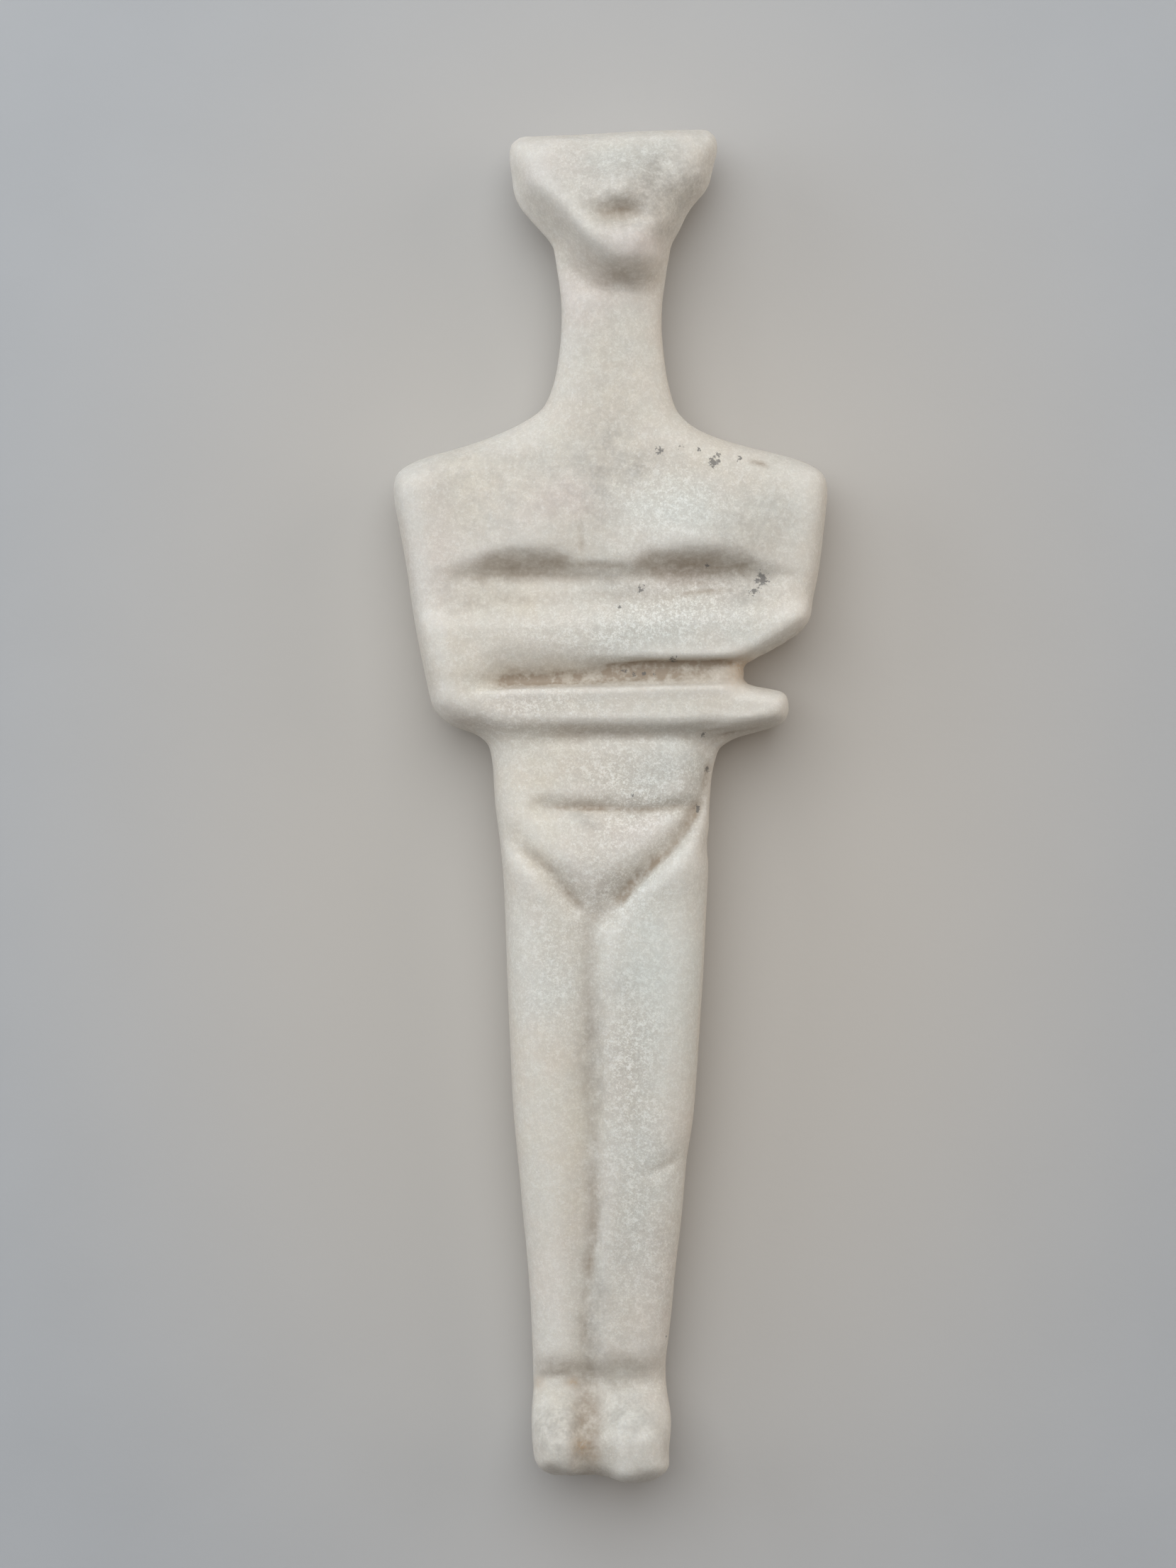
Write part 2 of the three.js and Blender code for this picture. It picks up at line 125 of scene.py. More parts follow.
SHAKE_OF_TONES = 3.0

# Rounds of smoothing, to even out the points, to find the corners and to find the hollows
EVENING_ROUNDS = 2
CORNER_ROUNDS = 10
HOLLOW_ROUNDS = 40

# Noises over the surface, by the length of one swing
Swing = namedtuple("Swing", "length seed octaves")
SHAKE_ACROSS = Swing(9, 1, 1)
SHAKE_UP = Swing(9, 2, 1)
UNEVEN_CUTS = Swing(6, 3, 1)
BROAD_SWAY = Swing(22, 4, 1)
FINE_SWAY = Swing(8, 5, 1)
PITS = Swing(2.2, 6, 2)
BROKEN_GRAIN = Swing(1.8, 7, 2)
SEED_SHIFT = (37.1, -19.7, 11.3) # how far apart in space two seeds read the same noise
UNEVENNESS = 0.5 # of the depth of the cuts
FINE_SWAY_SHARE = 0.35

# Where a rise begins and where it is full
FACING_UP = (0.0, 0.5)
BREAK_ACROSS = (19, 23)
BREAK_BOTTOM = (122.5, 124.5)
BREAK_TOP = (136.5, 133)
HOLLOW = (0.05, 0.5)
CREST = (-0.02, -0.3)
# Painted shade that darkens the hollows, and the most soil and painted shade that a point can take
HOLLOW_SHADE = 0.5
MOST_SOIL_AND_SHADE = 1.5 # in the groove between the forearms, where it is thickest

# Dark growth and brown stains on the skin of the stone
Spot = namedtuple("Spot", "across level reach strength")
SPECKS = (
    Spot(7.8, 160, 0.9, 1.0), Spot(10.9, 160.6, 0.6, 0.8), Spot(13.7, 160.1, 0.6, 0.7),
    Spot(16, 158.3, 1.1, 1.0), Spot(16.8, 159.6, 0.6, 0.8), Spot(19.9, 158.9, 0.6, 0.9),
    Spot(23.7, 139.9, 1.3, 1.0), Spot(22.3, 138.1, 1.0, 0.8), Spot(20.6, 141, 0.7, 0.7),
    Spot(15, 141.9, 0.6, 0.9), Spot(4.8, 138.7, 0.7, 1.0), Spot(1.5, 135.8, 0.6, 0.9),
    Spot(9.8, 127.2, 0.8, 1.0), Spot(3.6, 106.4, 0.7, 0.7), Spot(15.1, 110.4, 0.7, 1.0),
    Spot(13.8, 104.4, 0.7, 0.9), Spot(11.9, 47.5, 0.7, 0.9), Spot(9.8, 25.9, 0.8, 1.0),
    Spot(9.2, 22.1, 0.9, 0.8), Spot(16.4, 205.2, 0.7, 0.8), Spot(14.6, 115.9, 0.6, 0.9),
    Spot(2.2, 125.6, 0.5, 0.9), Spot(3.7, 125.3, 0.5, 0.8), Spot(5.1, 125.2, 0.5, 0.9),
    Spot(6.6, 125, 0.5, 0.8),
)
STAINS = (
    Spot(20.4, 126.2, 2.2, 1.0), Spot(19.5, 124.2, 1.6, 0.6), Spot(-5.9, 14.9, 0.8, 1.0),
    Spot(-11.2, 14.9, 1.0, 0.6), Spot(-4.2, 5, 1.3, 1.0), Spot(-2.4, 3.6, 1.0, 0.5),
)

# Soft ellipses that the stone's tones, its dirt and the painted shade follow
Patch = namedtuple("Patch", "across level half_across half_level amount")
MASKS = {
    "cream": (
        Patch(0, 173, 7, 9, 0.7), Patch(-11, 110, 8, 7, 0.9), Patch(-12, 96, 5, 11, 0.7),
        Patch(-9, 58, 7, 13, 1.0), Patch(-14, 137.5, 4, 2, 1.0), Patch(-9, 8, 4, 6, 0.9),
        Patch(-22, 128, 8, 10, 0.5), Patch(2, 124.8, 20, 1.8, 1.0), Patch(-20, 154, 8, 5, 0.8),
        Patch(14, 160, 12, 4, 0.4),
    ),
    "rose": (
        Patch(-8, 152, 7, 4, 1.0), Patch(5, 101.5, 5, 2, 1.0), Patch(2, 193, 5, 2.6, 1.8),
        Patch(-9, 203, 5, 4, 1.0), Patch(12, 139.8, 9, 1.4, 0.9), Patch(-3, 183, 6, 5, 0.9),
        Patch(-27, 144, 5, 8, 0.7), Patch(7, 30, 4, 9, 0.6), Patch(-20, 118.5, 9, 3, 0.5),
    ),
    "cool": (
        Patch(12, 150, 8, 4, 1.0), Patch(9, 132, 12, 5, 0.8), Patch(9, 111, 7, 5, 0.9),
        Patch(9, 80, 8, 17, 1.0), Patch(4, 47, 6, 14, 0.7), Patch(-9, 78, 5, 7, 0.7),
        Patch(3, 206, 8, 3, 0.6), Patch(3, 10, 4, 5, 0.6), Patch(26, 150, 7, 6, 0.4),
    ),
    # grey grime, and painted shade in the cleft between the legs and between the feet
    "grime": (
        Patch(5.4, 157.7, 2.4, 2, 0.8), Patch(1, 162.5, 3, 2, 0.6), Patch(-3, 153, 5, 10, 0.7),
        Patch(22, 148, 8, 8, 0.8), Patch(21, 138.6, 4, 1.6, 1.0), Patch(5, 139.3, 12, 1.6, 0.7),
        Patch(-22, 138, 7, 3, 0.7), Patch(-4.3, 102.6, 2.6, 0.9, 1.0), Patch(3, 78, 4.5, 3, 0.4),
        Patch(8, 112, 5, 3, 0.4), Patch(-2.8, 24, 2.4, 8, 0.9), Patch(9, 201, 6, 7, 0.8),
        Patch(0, 200, 16, 9, 0.6), Patch(0, 172, 9, 18, 0.45), Patch(-3, 68, 1.9, 15, 0.8),
        Patch(-3, 44, 1.4, 10, 0.5), Patch(3, 30, 12, 22, 0.35), Patch(-8, 8, 5, 7, 1.1),
        Patch(4, 9, 6, 7, 0.8), Patch(-22, 154, 12, 5, 0.5), Patch(-14, 150, 9, 6, 0.3),
        Patch(-3.3, 7, 1.8, 8, 0.6), Patch(13, 106, 3.5, 8, 0.5), Patch(0, 158, 30, 3, 0.3),
    ),
    "frost": (
        Patch(6, 108, 10, 7, 1.0), Patch(0, 93, 8, 6, 0.8), Patch(2, 132, 15, 4, 0.6),
        Patch(3, 66, 4, 13, 0.9), Patch(5, 40, 6, 16, 0.6), Patch(-9, 78, 5, 9, 0.5),
        Patch(10, 152, 11, 6, 0.5), Patch(5, 203, 9, 5, 0.5), Patch(-12, 119, 9, 4, 0.6),
        Patch(12, 137, 11, 5, 0.7),
    ),
    # dirt between the feet and in the groove between the forearms, and painted shade under the chin,
    # under the nose and at the ankles
    "soil": (
        Patch(-3.3, 7, 2.0, 8, 1.0), Patch(1.8, 187.6, 4.2, 1.8, 0.7), Patch(1.4, 198.4, 4.0, 1.8, 0.5),
        Patch(1, 125, 19, 1.5, 1.5), Patch(-8, 17.6, 4, 1.4, 0.5), Patch(4, 18.4, 5, 1.6, 0.4),
    ),
}


class CarvingSettings(bpy.types.PropertyGroup):
    """Sizes and main colours of the figurine"""

    grain: FloatProperty(
        name="Surface grain", description="Spacing of the points of the carved surface",
        default=0.52 * MM, min=0.3 * MM, precision=5, unit="LENGTH",
    )
    cut_depth: FloatProperty(
        name="Line depth", description="Share of the full depth of the carver's lines",
        default=1.0, min=0.0, max=2.0, subtype="FACTOR",
    )
    crispness: FloatProperty(
        name="Crispness", description="How much of the rounding of the corners is given back",
        default=1.3, min=0.0, max=2.0, subtype="FACTOR",
    )
    sway: FloatProperty(
        name="Sway", description="How far the hand-abraded surface wanders over a finger's width",
        default=0.16 * MM, min=0.0, precision=5, unit="LENGTH",
    )
    pitting: FloatProperty(
        name="Pitting", description="How far weather has eaten the surface",
        default=0.045 * MM, min=0.0, precision=5, unit="LENGTH",
    )
    fracture: FloatProperty(
        name="Fracture", description="How rough the broken elbow is",
        default=0.25 * MM, min=0.0, precision=5, unit="LENGTH",
    )
    crystal: FloatProperty(
        name="Crystal size", description="Usual size of a crystal of the marble",
        default=0.45 * MM, min=0.1 * MM, precision=5, unit="LENGTH",
    )
    stone: FloatVectorProperty(
        name="Marble", description="Usual colour of the marble's worn skin",
        default=(0.67, 0.635, 0.575), min=0.0, max=1.0, subtype="COLOR",
    )
    cream: FloatVectorProperty(
        name="Creamy marble", description="Colour of the marble where it is yellowest",
        default=(0.70, 0.65, 0.555), min=0.0, max=1.0, subtype="COLOR",
    )
    rose: FloatVectorProperty(
        name="Rosy marble", description="Colour of the marble where it is pinkest",
        default=(0.70, 0.63, 0.59), min=0.0, max=1.0, subtype="COLOR",
    )
    cool: FloatVectorProperty(
        name="Cool marble", description="Colour of the marble where it is freshest",
        default=(0.66, 0.685, 0.655), min=0.0, max=1.0, subtype="COLOR",
    )
    # painted into the grooves, folds and hollows, both as their dirt and as painted shade
    soil: FloatVectorProperty(
        name="Soil", description="Colour of the dirt that is left in the grooves",
        default=(0.33, 0.27, 0.21), min=0.0, max=1.0, subtype="COLOR",
    )
    stain: FloatVectorProperty(
        name="Rust stain", description="Colour of the brown stains",
        default=(0.42, 0.27, 0.14), min=0.0, max=1.0, subtype="COLOR",
    )
    growth: FloatVectorProperty(
        name="Dark growth", description="Colour of the dark specks",
        default=(0.13, 0.125, 0.12), min=0.0, max=1.0, subtype="COLOR",
    )


class StageSettings(bpy.types.PropertyGroup):
    """Camera, lights and floor"""

    floor_size: FloatProperty(
        name="Floor size", description="Length of a side of the floor",
        default=3.0, min=0.5, unit="LENGTH",
    )
    floor_colour: FloatVectorProperty(
        name="Floor", description="Colour of the floor",
        default=(0.42, 0.44, 0.47), min=0.0, max=1.0, subtype="COLOR",
    )
    # a painted pool of light: the floor round the figurine is painted lighter and warmer
    lit_pool_colour: FloatVectorProperty(
        name="Handled floor", description="Colour of the floor round the figurine",
        default=(0.51, 0.485, 0.455), min=0.0, max=1.0, subtype="COLOR",
    )
    view_height: FloatProperty(
        name="View height", description="What the long side of the image takes in",
        default=0.2442, min=0.05, unit="LENGTH",
    )
    key_power: FloatProperty(
        name="Key light", description="Power of the large soft light", default=15.6, min=0.0,
    )
    left_power: FloatProperty(
        name="Left light", description="Power of the low cool light at the figure's right",
        default=2.8, min=0.0,
    )
    right_power: FloatProperty(
        name="Right light", description="Power of the low warm light at the figure's left",
        default=2.4, min=0.0,
    )
    fill_strength: FloatProperty(
        name="Fill light", description="Brightness of the light from all round",
        default=0.2, min=0.0,
    )


def smooth_step(start, end, value):
    """0 at start, rising smoothly to 1 at end, which may be the lower one"""
    t = np.clip((value - start) / (end - start), 0, 1)
    return t * t * (3 - 2 * t)


def bell(offset, width):
    return np.exp(-((offset / width) ** 2))


def clouds(places, swing):
    """Smooth noise about 0 at each place"""
    shift = Vector([swing.seed * step for step in SEED_SHIFT])
    total = np.zeros(len(places))
    for octave in range(swing.octaves):
        step = 2**octave / swing.length
        values = [noise.noise(Vector(place) * step + shift) for place in places]
        total += np.array(values) / 2**octave
    return total


def smooth_line(points):
    """A curve through the points, as a finer list of points"""
    ends = [points[0], *points, points[-1]]
    line = []
    for before, start, end, after in zip(ends, ends[1:], ends[2:], ends[3:]):
        before, start, end, after = (np.array(p, dtype=float) for p in (before, start, end, after))
        for t in np.arange(LINE_STEPS) / LINE_STEPS:
            pull = (end - before) * t * (1 - t) ** 2 / 2 - (after - start) * t * t * (1 - t) / 2
            line.append(start + (end - start) * t * t * (3 - 2 * t) + pull)
    return np.array([*line, points[-1]])


def near_line(places, line):
    """For each place: its distance to the line, whether it is on the left, and how far along"""
    distance = np.full(len(places), np.inf)
    on_left = np.zeros(len(places), dtype=bool)
    along = np.zeros(len(places))
    walked = 0.0
    for start, end in zip(line, line[1:]):
        way = end - start
        length = math.hypot(*way)
        offset = places - start
        t = np.clip(offset @ way / length**2, 0, 1)
        away = offset - t[:, None] * way
        gap = np.hypot(away[:, 0], away[:, 1])
        closer = gap < distance
        distance[closer] = gap[closer]
        on_left[closer] = (way[0] * offset[:, 1] - way[1] * offset[:, 0])[closer] > 0
        along[closer] = walked + t[closer] * length
        walked += length
    return distance, on_left, along, walked


def cut_profile(places, cut):
    """The share of a cut's depth at each place"""
    distance, on_left, along, length = near_line(places, smooth_line(cut.points))
    width = np.where(on_left, cut.left, cut.right)
    taper = min(CUT_TAPER, length / 3)
    ends = smooth_step(-0.5, taper, along) * smooth_step(length + 0.5, length - taper, along)
    return bell(distance, width) * ends


def neighbour_mean(values, edges, count):
    """Each point's mean of the values of the points that it shares an edge with"""
    first, second = edges[:, 0], edges[:, 1]
    total = np.zeros_like(values)
    for column in range(values.shape[1]):
        total[:, column] = np.bincount(first, values[second, column], len(values))
        total[:, column] += np.bincount(second, values[first, column], len(values))
    return total / count[:, None]


def relaxed(places, edges, rounds):
    count = np.bincount(edges.ravel(), minlength=len(places))
    for _ in range(rounds):
        places = (places + neighbour_mean(places, edges, count)) / 2
    return places


def read_vectors(items, name):
    values = np.empty(len(items) * 3)
    items.foreach_get(name, values)
    return values.reshape(-1, 3)


def fine_mesh(grain):
    """The figure's solid as one even mesh of small faces"""
    mesh = bpy.data.objects[NODE].data.copy()
    form = bmesh.new()
    form.from_mesh(mesh)
    bmesh.ops.remove_doubles(form, verts=form.verts, dist=0.01 * MM)
    bmesh.ops.join_triangles(
        form, faces=form.faces, angle_face_threshold=math.pi, angle_shape_threshold=math.pi
    )
    form.to_mesh(mesh)
    form.free()
    mesh.materials.clear()
    rough = bpy.data.objects.new("rough_figurine", mesh)
    bpy.context.scene.collection.objects.link(rough)
    rounding = rough.modifiers.new("rounding", "SUBSURF")
    rounding.levels = rounding.render_levels = 2
    even = rough.modifiers.new("even", "REMESH")
    even.mode = "VOXEL"
    even.voxel_size = grain
    even.use_smooth_shade = True
    seen = rough.evaluated_get(bpy.context.evaluated_depsgraph_get())
    fine = bpy.data.meshes.new_from_object(seen)
    bpy.data.objects.remove(rough)
    bpy.data.meshes.remove(mesh)
    fine.name = "marble_figurine"
    return fine


def put_attribute(mesh, name, values):
    layer = mesh.attributes.new(name, "FLOAT", "POINT")
    layer.data.foreach_set("value", values.astype(np.float32))


def spots(places, list_of_spots):
    """Soft round spots, at most 1"""
    total = np.zeros(len(places))
    for spot in list_of_spots:
        gap = np.hypot(places[:, 0] - spot.across, places[:, 1] - spot.level)
        total = np.maximum(total, spot.strength * bell(gap, spot.reach))
    return total


def patches(places, list_of_patches):
    """The sum of broad soft patches"""
    total = np.zeros(len(places))
    for patch in list_of_patches:
        across = bell(places[:, 0] - patch.across, patch.half_across)
        total += patch.amount * across * bell(places[:, 1] - patch.level, patch.half_level)
    return total


def seen_from_above(places):
    """Where the camera sees each place, as (across, level)"""
    nearer = (CAMERA_HEIGHT - OUTLINE_HEIGHT) / (CAMERA_HEIGHT - places[:, 2])
    across = CAMERA_ACROSS + (places[:, 0] - CAMERA_ACROSS) * nearer
    level = CAMERA_LEVEL + (places[:, 1] - TOES - CAMERA_LEVEL) * nearer
    return np.column_stack([across, level])


def carve(mesh, settings):
    """Moves the points of the mesh along their normals, and marks soil and painted shade, the painted
    highlight on crests, stains and tones
    """
    places = read_vectors(mesh.vertices, "co") / MM
    normals = read_vectors(mesh.vertex_normals, "vector")
    edges = np.empty(len(mesh.edges) * 2, dtype=np.int32)
    mesh.edges.foreach_get("vertices", edges)
    edges = edges.reshape(-1, 2)
    rounded = relaxed(places, edges, CORNER_ROUNDS)
    lost = np.einsum("ij,ij->i", places - rounded, normals)
    places = relaxed(places, edges, EVENING_ROUNDS) + normals * settings.crispness * lost[:, None]

    plan = seen_from_above(places)
    shake = np.column_stack([clouds(places, SHAKE_ACROSS), clouds(places, SHAKE_UP)])
    shaken = plan + SHAKE_OF_LINES * shake
    front = smooth_step(*FACING_UP, normals[:, 2])

    depth = np.zeros(len(places))
    # dirt, and painted shade under the chin and the nose, at the ankles and in the lines
    soil = patches(plan, MASKS["soil"]) * front
    uneven = 1 + UNEVENNESS * clouds(places, UNEVEN_CUTS)
    for cut in CUTS:
        profile = cut_profile(shaken, cut) * front
        depth += cut.depth * settings.cut_depth * profile * uneven
        soil = np.maximum(soil, cut.soil * profile)

    sway = clouds(places, BROAD_SWAY) + FINE_SWAY_SHARE * clouds(places, FINE_SWAY)
    pits = np.minimum(clouds(places, PITS), 0)
    height = sway * settings.sway / MM + pits * settings.pitting / MM - depth

    broken = smooth_step(*BREAK_ACROSS, plan[:, 0]) * smooth_step(*BREAK_BOTTOM, plan[:, 1])
    broken *= smooth_step(*BREAK_TOP, plan[:, 1]) * (1 - front)
    height += broken * settings.fracture / MM * clouds(places, BROKEN_GRAIN)

    # painted shade: the hollows that smoothing finds are darkened like soil, and the crests get a
    # painted highlight
    slack = relaxed(places, edges, HOLLOW_ROUNDS)
    hollow = np.einsum("ij,ij->i", slack - places, normals)
    soil = np.clip(soil + smooth_step(*HOLLOW, hollow) * HOLLOW_SHADE, 0, MOST_SOIL_AND_SHADE)
    crest = smooth_step(*CREST, hollow)

    places = places + normals * height[:, None]
    places = np.clip(places, LOWEST, HIGHEST)
    mesh.vertices.foreach_set("co", (places * MM).ravel())
    put_attribute(mesh, "soil", soil)
    put_attribute(mesh, "crest", crest)
    put_attribute(mesh, "growth", spots(shaken, SPECKS) * front)
    put_attribute(mesh, "stain", spots(shaken, STAINS))
    for name in ("cream", "rose", "cool", "grime", "frost"):
        put_attribute(mesh, name, patches(plan + SHAKE_OF_TONES * shake, MASKS[name]) * front)
    mesh.update()


# The colour sockets of a Mix node, which also has sockets for numbers and vectors
MIX_INPUTS = (0, 6, 7)
MIX_OUTPUT = 2


class Nodes:
    """Adds nodes to a tree and joins them up"""

    def __init__(self, tree):
        self.tree = tree

    def add(self, kind, **values):
        node = self.tree.nodes.new(kind)
        for name, value in values.items():
            setattr(node, name, value)
        return node

    def put(self, socket, value):
        """Links another node's output to the socket, or sets the socket's own value"""
        if isinstance(value, bpy.types.NodeSocket):
            self.tree.links.new(value, socket)
        elif socket.type == "RGBA":
            socket.default_value = (*value, 1.0)
        else:
            socket.default_value = value

    def set(self, node, **inputs):
        for name, value in inputs.items():
            self.put(node.inputs[name.replace("_", " ")], value)
        return node

    def math(self, operation, first, second, clamp=False):
        node = self.add("ShaderNodeMath", operation=operation, use_clamp=clamp)
        self.put(node.inputs[0], first)
        self.put(node.inputs[1], second)
        return node.outputs[0]

    def mix(self, share, first, second):
        """The first colour, with a share of the second one"""
        node = self.add("ShaderNodeMix", data_type="RGBA", clamp_factor=True)
        share_in, first_in, second_in = (node.inputs[index] for index in MIX_INPUTS)
        self.put(share_in, share)
        self.put(first_in, first)
        self.put(second_in, second)
        return node.outputs[MIX_OUTPUT]

    def ramp(self, value, start, end):
        """0 at start and 1 at end, smoothly"""
        node = self.add("ShaderNodeMapRange", interpolation_type="SMOOTHSTEP")
        self.set(node, Value=value, From_Min=start, From_Max=end)
        return node.outputs[0]

    def noise(self, place, size, detail=2.0, rough=0.5, distortion=0.0):
        """Soft noise with swings of about the given length in metres"""
        node = self.add("ShaderNodeTexNoise")
        self.set(node, Vector=place, Scale=1 / size, Detail=detail, Roughness=rough)
        self.set(node, Distortion=distortion)
        return node.outputs["Fac"]

    def attribute(self, name):
        return self.add("ShaderNodeAttribute", attribute_name=name).outputs["Fac"]


# Patches of two sizes: how much finer they are than the given size, and their shares
MOTTLE_SIZES = ((1.0, 0.62), (3.7, 0.38))
MOTTLE_RANGE = (0.32, 0.68)


def mottle_group():
    """Patches of two sizes, as one value between 0 and 1"""
    group = bpy.data.node_groups.new("Mottle", "ShaderNodeTree")
    group.interface.new_socket("Place", in_out="INPUT", socket_type="NodeSocketVector")
    for name in ("Size", "Detail"):
        group.interface.new_socket(name, in_out="INPUT", socket_type="NodeSocketFloat")
    group.interface.new_socket("Value", in_out="OUTPUT", socket_type="NodeSocketFloat")
    nodes = Nodes(group)
    given = nodes.add("NodeGroupInput").outputs
    scale = nodes.math("DIVIDE", 1.0, given["Size"])
    shares = []
    for finer, share in MOTTLE_SIZES:
        layer = nodes.add("ShaderNodeTexNoise")
        finer_scale = nodes.math("MULTIPLY", scale, finer)
        nodes.set(layer, Vector=given["Place"], Scale=finer_scale, Detail=given["Detail"])
        shares.append(nodes.math("MULTIPLY", layer.outputs["Fac"], share))
    both = nodes.math("ADD", *shares)
    nodes.set(nodes.add("NodeGroupOutput"), Value=nodes.ramp(both, *MOTTLE_RANGE))
    return group


def mottle(nodes, place, size, detail=2.0):
    group = bpy.data.node_groups.get("Mottle") or mottle_group()
    node = nodes.add("ShaderNodeGroup", node_tree=group)
    nodes.set(node, Place=place, Size=size, Detail=detail)
    return node.outputs["Value"]


def new_material(name):
    material = bpy.data.materials.new(name)
    material.use_nodes = True
    material.node_tree.nodes.clear()
    nodes = Nodes(material.node_tree)
    shader = nodes.add("ShaderNodeBsdfPrincipled")
    nodes.set(nodes.add("ShaderNodeOutputMaterial"), Surface=shader.outputs["BSDF"])
    place = nodes.add("ShaderNodeTexCoord").outputs["Object"]
    return material, nodes, shader, place


# The tones of the marble drift over these sizes, and each takes a share of the colour.
Tone = namedtuple("Tone", "name size share")
TONES = (Tone("cream", 13, 0.75), Tone("rose", 9, 0.6), Tone("cool", 11, 0.75))
TONE_DRIFT = 0.45

# The grain: its sizes, how strong it is on smooth skin and what frost adds, its colours, the
# painted highlight on the crests and the painted glints
GRAIN_SIZE = 0.34
BLOTCH_SIZE = 1.1
GRAIN_SHARE = 0.6
GRAIN_HEIGHT = 0.06
SMOOTH_GRAIN = 0.20
FROSTED_GRAIN = 0.36
CREST_HIGHLIGHT_SHARE = 0.22
PAINTED_GLINT_SHARE = 0.35
DULL_GRAIN = (0.38, 0.345, 0.31)
BRIGHT_GRAIN = (0.90, 0.90, 0.88)
WORN_CREST_AND_HIGHLIGHT = (0.86, 0.85, 0.83)
PAINTED_GLINT = (0.92, 0.93, 0.92)

# Dirt, and the colour of the grime that also serves as painted shade
WEAR_SIZE = 2.4
FLECK_SIZE = 0.55
GRIME_AND_SHADE = (0.27, 0.255, 0.235)


def marble_material(settings):
    """Coarse white marble with a worn, stained skin, painted shade, painted highlights and painted
    glints
    """
    material, nodes, shader, place = new_material("worn_marble")

    # broad tones
    colour = tuple(settings.stone)
    for tone in TONES:
        drift = nodes.math("MULTIPLY", mottle(nodes, place, tone.size * MM), TONE_DRIFT)
        share = nodes.math("ADD", nodes.attribute(tone.name), drift)
        share = nodes.math("MULTIPLY", share, tone.share, clamp=True)
        colour = nodes.mix(share, colour, tuple(getattr(settings, tone.name)))

    # the sugary grain, which is strongest where the skin is frosted
    grain = nodes.noise(place, GRAIN_SIZE * MM, 2.0, 0.7, distortion=0.8)
    blotch = nodes.noise(place, BLOTCH_SIZE * MM, 3.0, 0.65)
    grain_part = nodes.math("MULTIPLY", grain, GRAIN_SHARE)
    shade = nodes.math("ADD", grain_part, nodes.math("MULTIPLY", blotch, 1 - GRAIN_SHARE))
    dull = nodes.ramp(shade, 0.6, 0.38)
    bright = nodes.ramp(shade, 0.5, 0.62)
    frost = nodes.math("MULTIPLY", nodes.attribute("frost"), FROSTED_GRAIN)
    frost = nodes.math("ADD", frost, SMOOTH_GRAIN)
    colour = nodes.mix(nodes.math("MULTIPLY", dull, frost), colour, DULL_GRAIN)
    colour = nodes.mix(nodes.math("MULTIPLY", bright, frost), colour, BRIGHT_GRAIN)
    # painted highlight: the crests are painted whiter, partly as cleaner worn skin
    crest = nodes.math("MULTIPLY", nodes.attribute("crest"), CREST_HIGHLIGHT_SHARE)
    colour = nodes.mix(crest, colour, WORN_CREST_AND_HIGHLIGHT)

    # painted glints: a few crystals are painted near white, as if they catch the light
    crystals = nodes.add("ShaderNodeTexVoronoi", feature="F1")
    nodes.set(crystals, Vector=place, Scale=1 / settings.crystal, Randomness=1.0)
    cell = nodes.add("ShaderNodeSeparateColor")
    nodes.set(cell, Color=crystals.outputs["Color"])
    facet = nodes.ramp(crystals.outputs["Distance"], 0.45, 0.1)
    painted_glint = nodes.math("MULTIPLY", nodes.ramp(cell.outputs[1], 0.955, 0.995), facet)
    colour = nodes.mix(nodes.math("MULTIPLY", painted_glint, PAINTED_GLINT_SHARE), colour, PAINTED_GLINT)

    # grime and soil, both also painted shade, stains and growth
    wear = mottle(nodes, place, WEAR_SIZE * MM, 4.0)
    for name, pattern, share, tint in (
        ("grime", nodes.math("ADD", wear, 0.3), 0.4, GRIME_AND_SHADE),
        ("soil", nodes.math("ADD", wear, 0.5), 0.62, tuple(settings.soil)),
        ("stain", nodes.ramp(grain, 0.3, 0.6), 0.6, tuple(settings.stain)),
    ):
        dirt = nodes.math("MULTIPLY", nodes.attribute(name), pattern)
        colour = nodes.mix(nodes.math("MULTIPLY", dirt, share, clamp=True), colour, tint)
    fleck = nodes.math("MULTIPLY", nodes.noise(place, FLECK_SIZE * MM, 2.0, 0.7), 2.2)
    growth = nodes.ramp(nodes.math("ADD", nodes.attribute("growth"), fleck), 1.65, 1.9)
    colour = nodes.mix(nodes.math("MULTIPLY", growth, 0.8), colour, tuple(settings.growth))

    rough = nodes.math("ADD", nodes.math("MULTIPLY", dull, 0.12), 0.58)
    rough = nodes.math("SUBTRACT", rough, nodes.math("MULTIPLY", painted_glint, 0.25))
    bump = nodes.add("ShaderNodeBump")
    nodes.set(bump, Strength=1.0, Distance=GRAIN_HEIGHT * MM, Height=shade)

    nodes.set(shader, Base_Color=colour, Roughness=rough, Normal=bump.outputs["Normal"])
    nodes.set(shader, Subsurface_Weight=0.15, Subsurface_Scale=0.8 * MM, IOR=1.5)
    nodes.set(shader, Subsurface_Radius=(1.0, 0.8, 0.6))
    shader.inputs["Specular IOR Level"].default_value = 0.4
    return material


# The painted pool of light on the floor, lighter and warmer, is an ellipse about the figurine, which
# fades out from the first to the second of these shares of its size.
LIT_POOL_HALF_WIDTH = 95.0
LIT_POOL_HALF_LENGTH = 150.0
LIT_POOL_FADE = (1.25, 0.3)
BOARD_SHADE = 0.96
BOARD_SHADE_SIZE = 60.0
BOARD_GRAIN_SIZE = 1.2
BOARD_GRAIN_HEIGHT = 0.02
BOARD_DROP = 0.02 # under the figurine, so that their faces don't meet


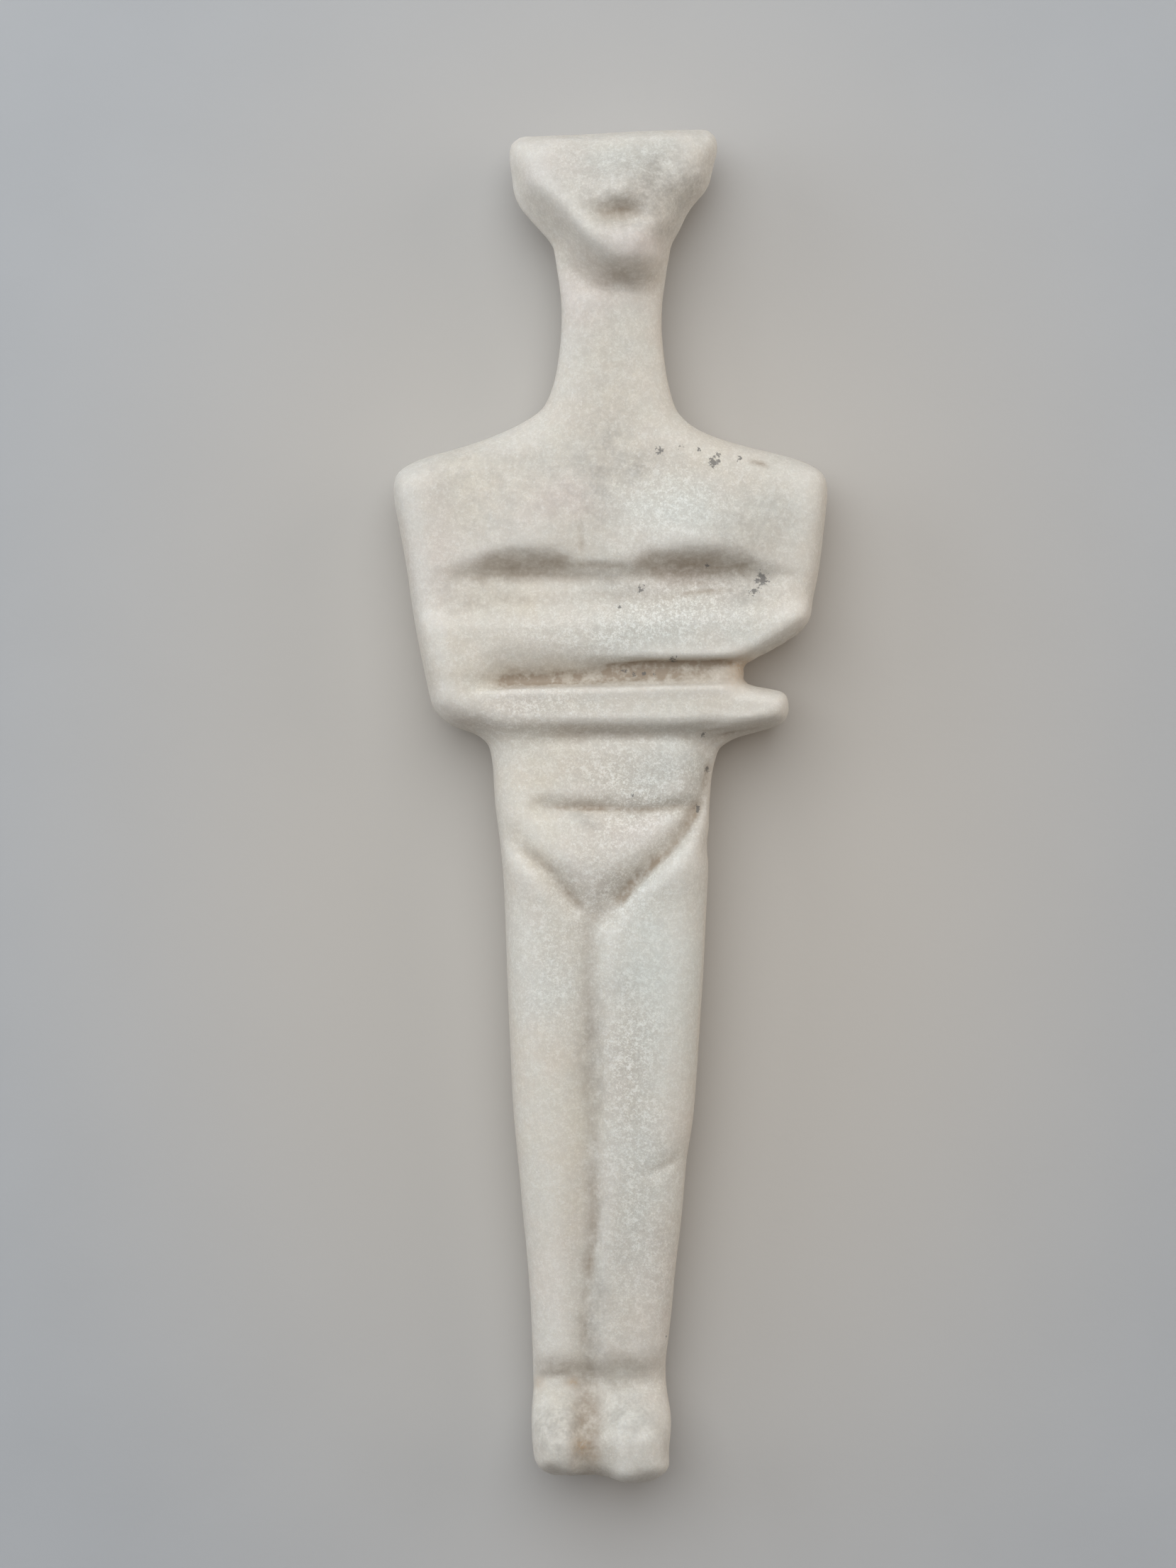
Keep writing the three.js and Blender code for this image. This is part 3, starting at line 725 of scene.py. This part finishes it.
def floor_material(settings):
    """A plain painted board, with a painted pool of light round the figurine"""
    material, nodes, shader, place = new_material("pale_board")
    shade = tuple(channel * BOARD_SHADE for channel in settings.floor_colour)
    drift = mottle(nodes, place, BOARD_SHADE_SIZE * MM)
    colour = nodes.mix(drift, tuple(settings.floor_colour), shade)
    ellipse = nodes.add("ShaderNodeVectorMath", operation="MULTIPLY")
    nodes.put(ellipse.inputs[0], place)
    shrink = (1 / (LIT_POOL_HALF_WIDTH * MM), 1 / (LIT_POOL_HALF_LENGTH * MM), 0.0)
    nodes.put(ellipse.inputs[1], shrink)
    reach = nodes.add("ShaderNodeVectorMath", operation="LENGTH")
    nodes.put(reach.inputs[0], ellipse.outputs[0])
    # the painted pool of light round the figurine
    lit_pool = nodes.ramp(reach.outputs["Value"], *LIT_POOL_FADE)
    colour = nodes.mix(lit_pool, colour, tuple(settings.lit_pool_colour))
    bump = nodes.add("ShaderNodeBump")
    grain = nodes.noise(place, BOARD_GRAIN_SIZE * MM, 4.0)
    nodes.set(bump, Strength=1.0, Distance=BOARD_GRAIN_HEIGHT * MM, Height=grain)
    nodes.set(shader, Base_Color=colour, Roughness=0.6, Normal=bump.outputs["Normal"])
    return material


class MARBLE_OT_carve_figurine(bpy.types.Operator):
    """Carve the figurine's surface and finish its marble"""

    bl_idname = "marble.carve_figurine"
    bl_label = "Carve Figurine"

    def execute(self, context):
        settings = context.scene.carving
        mesh = fine_mesh(settings.grain)
        if not mesh.vertices:
            raise RuntimeError("the figurine's mesh is empty")
        carve(mesh, settings)
        piece = bpy.data.objects.new("marble_figurine", mesh)
        context.scene.collection.objects.link(piece)
        mesh.materials.append(marble_material(settings))
        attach(piece, BODY)
        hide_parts(NODE)
        return {"FINISHED"}


# Round soft lamps that face the figurine. Power is the name of the setting that holds it, and
# places and sizes are in metres.
Lamp = namedtuple("Lamp", "name place size power colour")
LAMPS = (
    Lamp("large_window", (-0.14, 0.62, 1.12), 1.7, "key_power", (0.94, 0.98, 1.0)),
    Lamp("left_wall", (-0.86, 0.26, 0.34), 0.7, "left_power", (0.96, 0.98, 1.0)),
    Lamp("right_wall", (0.86, 0.26, 0.34), 0.7, "right_power", (1.0, 0.86, 0.72)),
)
ROOM_COLOUR = (1.0, 0.9, 0.8)


class MARBLE_OT_set_stage(bpy.types.Operator):
    """Set the floor, the lights and the camera over the figurine"""

    bl_idname = "marble.set_stage"
    bl_label = "Set Stage"

    def execute(self, context):
        settings = context.scene.stage
        scene = context.scene

        mesh = bpy.data.meshes.new("floor")
        board = bmesh.new()
        bmesh.ops.create_grid(board, x_segments=1, y_segments=1, size=settings.floor_size / 2)
        bmesh.ops.translate(board, verts=board.verts, vec=(0, 0, -BOARD_DROP * MM))
        board.to_mesh(mesh)
        board.free()
        mesh.materials.append(floor_material(settings))
        floor = bpy.data.objects.new("floor", mesh)
        scene.collection.objects.link(floor)

        world = bpy.data.worlds.new("soft_room")
        world.use_nodes = True
        back = world.node_tree.nodes["Background"]
        back.inputs["Color"].default_value = (*ROOM_COLOUR, 1.0)
        back.inputs["Strength"].default_value = settings.fill_strength
        scene.world = world

        for lamp in LAMPS:
            light = bpy.data.lights.new(lamp.name, "AREA")
            light.shape = "DISK"
            light.size = lamp.size
            light.energy = getattr(settings, lamp.power)
            light.color = lamp.colour
            placed = bpy.data.objects.new(lamp.name, light)
            placed.location = lamp.place
            placed.rotation_euler = (-placed.location).to_track_quat("-Z", "Y").to_euler()
            scene.collection.objects.link(placed)

        camera = bpy.data.cameras.new("overhead")
        camera.sensor_width = 36.0
        distance = (CAMERA_HEIGHT - OUTLINE_HEIGHT) * MM
        camera.lens = camera.sensor_width * distance / settings.view_height
        viewer = bpy.data.objects.new("overhead", camera)
        viewer.location = Vector((CAMERA_ACROSS, CAMERA_LEVEL + TOES, CAMERA_HEIGHT)) * MM
        scene.collection.objects.link(viewer)
        scene.camera = viewer
        scene.view_settings.view_transform = "Standard"
        return {"FINISHED"}


class MARBLE_PT_figurine(bpy.types.Panel):
    """The figurine's settings in the sidebar"""

    bl_label = "Figurine"
    bl_idname = "MARBLE_PT_figurine"
    bl_space_type = "VIEW_3D"
    bl_region_type = "UI"
    bl_category = "Figurine"

    def draw(self, context):
        for settings, operator in (
            (context.scene.carving, MARBLE_OT_carve_figurine),
            (context.scene.stage, MARBLE_OT_set_stage),
        ):
            column = self.layout.column(align=True)
            for name in settings.__annotations__:
                column.prop(settings, name)
            self.layout.operator(operator.bl_idname)


CLASSES = (
    CarvingSettings, StageSettings, MARBLE_OT_carve_figurine, MARBLE_OT_set_stage, MARBLE_PT_figurine,
)


def register():
    for made in CLASSES:
        bpy.utils.register_class(made)
    bpy.types.Scene.carving = PointerProperty(type=CarvingSettings)
    bpy.types.Scene.stage = PointerProperty(type=StageSettings)


def unregister():
    del bpy.types.Scene.stage
    del bpy.types.Scene.carving
    for made in reversed(CLASSES):
        bpy.utils.unregister_class(made)


def main():
    register()
    bpy.ops.marble.carve_figurine()
    bpy.ops.marble.set_stage()


if __name__ == "__main__":
    main()
